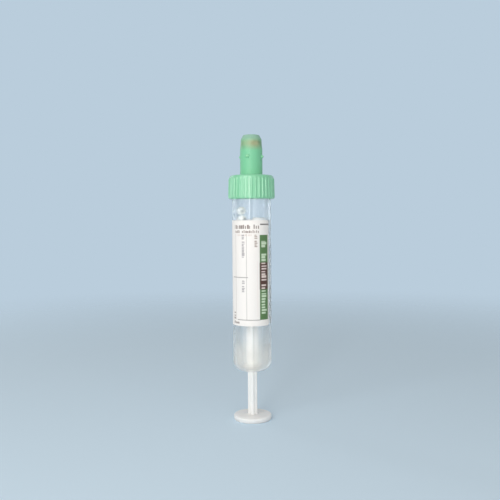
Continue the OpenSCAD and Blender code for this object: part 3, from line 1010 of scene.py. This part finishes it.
# name: (left, right, low, high), way, pitch, duty, word, colour, strength
rows = {
    "head row": ((-58.0, 21.0, 74.2, 75.8), 0, 0.74, 0.62, 15, brownish, 0.9),
    "second row": ((-56.0, 22.0, 72.65, 73.7), 0, 0.62, 0.66, 17, lighter, 0.95),
    "third row": ((-54.0, 6.0, 71.5, 72.2), 0, 0.5, 0.5, 7, blush, 0.8),
    "caption one": ((-30.5, -21.0, 63.4, 72.0), 1, 0.62, 0.72, 11, cool, 0.8),
    "caption two": ((-30.5, -21.0, 50.3, 54.8), 1, 0.62, 0.72, 5, cool, 0.85),
    "caption three": ((7.6, 16.4, 67.3, 72.4), 1, 0.62, 0.75, 9, faint, 0.9),
    "corner notes": ((-64.0, -40.0, 38.2, 39.2), 0, 0.55, 0.75, 7, brownish, 0.9),
    "edge notes": ((-64.0, -54.0, 39.9, 42.5), 1, 1.1, 0.6, 9, brownish, 0.85),
    "side notes": ((54.5, 58.5, 40.5, 70.5), 1, 0.5, 0.45, 7, mint, 0.8),
}
for number, (box, way, pitch, duty, word, colour, strength) in enumerate(rows.values()):
    mask = strokes(tree, unrolled, way, *box, pitch, 40 * number + 11, duty, word)
    ink = printed(tree, mask, strength, ink, colour)
print(len(rows), "rows of strokes")

# %% The band that tells what the tube is for
band_left, band_right = 23.2, 52.4
band = field(tree, unrolled, band_left, band_right, 39.75, 71.9)
ink = mixed(tree, band, ink, paint(96, 130, 84))
stretch = field(tree, unrolled, band_left, band_right, 51.3, 61.5, fade=0.5)
ink = mixed(tree, stretch, ink, paint(92, 66, 58))
mask = strokes(tree, unrolled, 1, 28.6, 47.6, 42.0, 69.6, pitch=1.05, seed=23, duty=0.68, word=12.0)
light = mixed(tree, stretch, paint(214, 232, 204), paint(238, 222, 214))
ink = printed(tree, mask, 0.9, ink, light)
dressed(tree, shader, skin_out, ink, 0.003)
finished(tree, lamps_pass(tree, shader.outputs[0], (0.5, 0.5, 0.5)))
wear(label, material)

# %% [markdown]
# ## Floor, lamps and world
#
# The floor is a plain pale disc that fades out into the world's colour, so there is no hard horizon. The
# camera, reflections and the clear plastic see that same pale colour. Six softboxes light the piece: a
# wide one in front on the left, a strip beside it that draws the long highlights, a weaker one that fills
# in from the right, one above, and two narrow ones behind that draw the edges of the barrel. A picture of
# a studio could light it, but lamps can be moved one by one until each highlight sits right.

# %% The floor
pale = paint(186, 205, 220)
ring = np.array((0, 20, 60, 150, 300, 700.0))
floor = revolved("floor", *turned(np.column_stack((ring, np.full(6, -0.01))), 96), along=False)

material, tree, shader = shaded("pale_floor", Roughness=0.8, Specular_IOR_Level=0.1)
shader.inputs["Base Color"].default_value = paint(215, 236, 251)
place = node(tree, "TexCoord").outputs["Object"]
far = node(tree, "VectorMath", {0: place}, operation="LENGTH").outputs["Value"]
fade = spread(tree, far, 0.12, 0.5, interpolation_type="SMOOTHSTEP")
finished(tree, blended(tree, fade, shader.outputs[0], node(tree, "BsdfTransparent").outputs[0]))
wear(floor, material)

# %% The world
world = bpy.data.worlds.new("pale_studio")
bpy.context.scene.world = world
world.use_nodes = True
tree = world.node_tree
tree.nodes.clear()
rays = node(tree, "LightPath").outputs
seen = sums(tree, "MAXIMUM", rays["Is Glossy Ray"], rays["Is Transmission Ray"])
seen = sums(tree, "MAXIMUM", rays["Is Camera Ray"], seen)
ambient = node(tree, "Background", {"Color": (1, 0.985, 0.97, 1), "Strength": 0.43}).outputs[0]
backdrop = node(tree, "Background", {"Color": pale, "Strength": 1.0}).outputs[0]
node(tree, "OutputWorld", {0: blended(tree, seen, ambient, backdrop)})
bpy.context.scene.view_settings.view_transform = "Standard"
print("backdrop colour", tuple(round(c, 3) for c in pale[:3]))

# %% The lamps
middle = np.array((0, 0, 0.055))


def softbox(name, azimuth, elevation, wide, tall, power, distance=0.5):
    """A rectangular lamp that looks at the middle of the piece. Its azimuth counts right from the front."""
    a, e = math.radians(azimuth), math.radians(elevation)
    way = np.array((math.sin(a) * math.cos(e), -math.cos(a) * math.cos(e), math.sin(e)))
    lamp = bpy.data.objects.new(name, bpy.data.lights.new(name, "AREA"))
    lamp.data.shape = "RECTANGLE"
    lamp.data.size, lamp.data.size_y = wide, tall
    lamp.data.energy = power
    lamp.data.color = (1.0, 0.975, 0.945)
    lamp.location = middle + way * distance
    lamp.rotation_euler = (math.pi / 2 - e, 0, a)
    bpy.context.scene.collection.objects.link(lamp)
    print(name, "lamp:", power, "W")


softbox("key", -36, 20, 0.30, 0.50, 0.88)
softbox("strip", -15, 9, 0.10, 0.46, 0.80)
softbox("fill", 24, 14, 0.34, 0.50, 0.28)
softbox("top", -10, 80, 0.30, 0.30, 0.11)
softbox("left rim", -132, 12, 0.08, 0.50, 0.22)
softbox("right rim", 128, 12, 0.08, 0.50, 0.05)
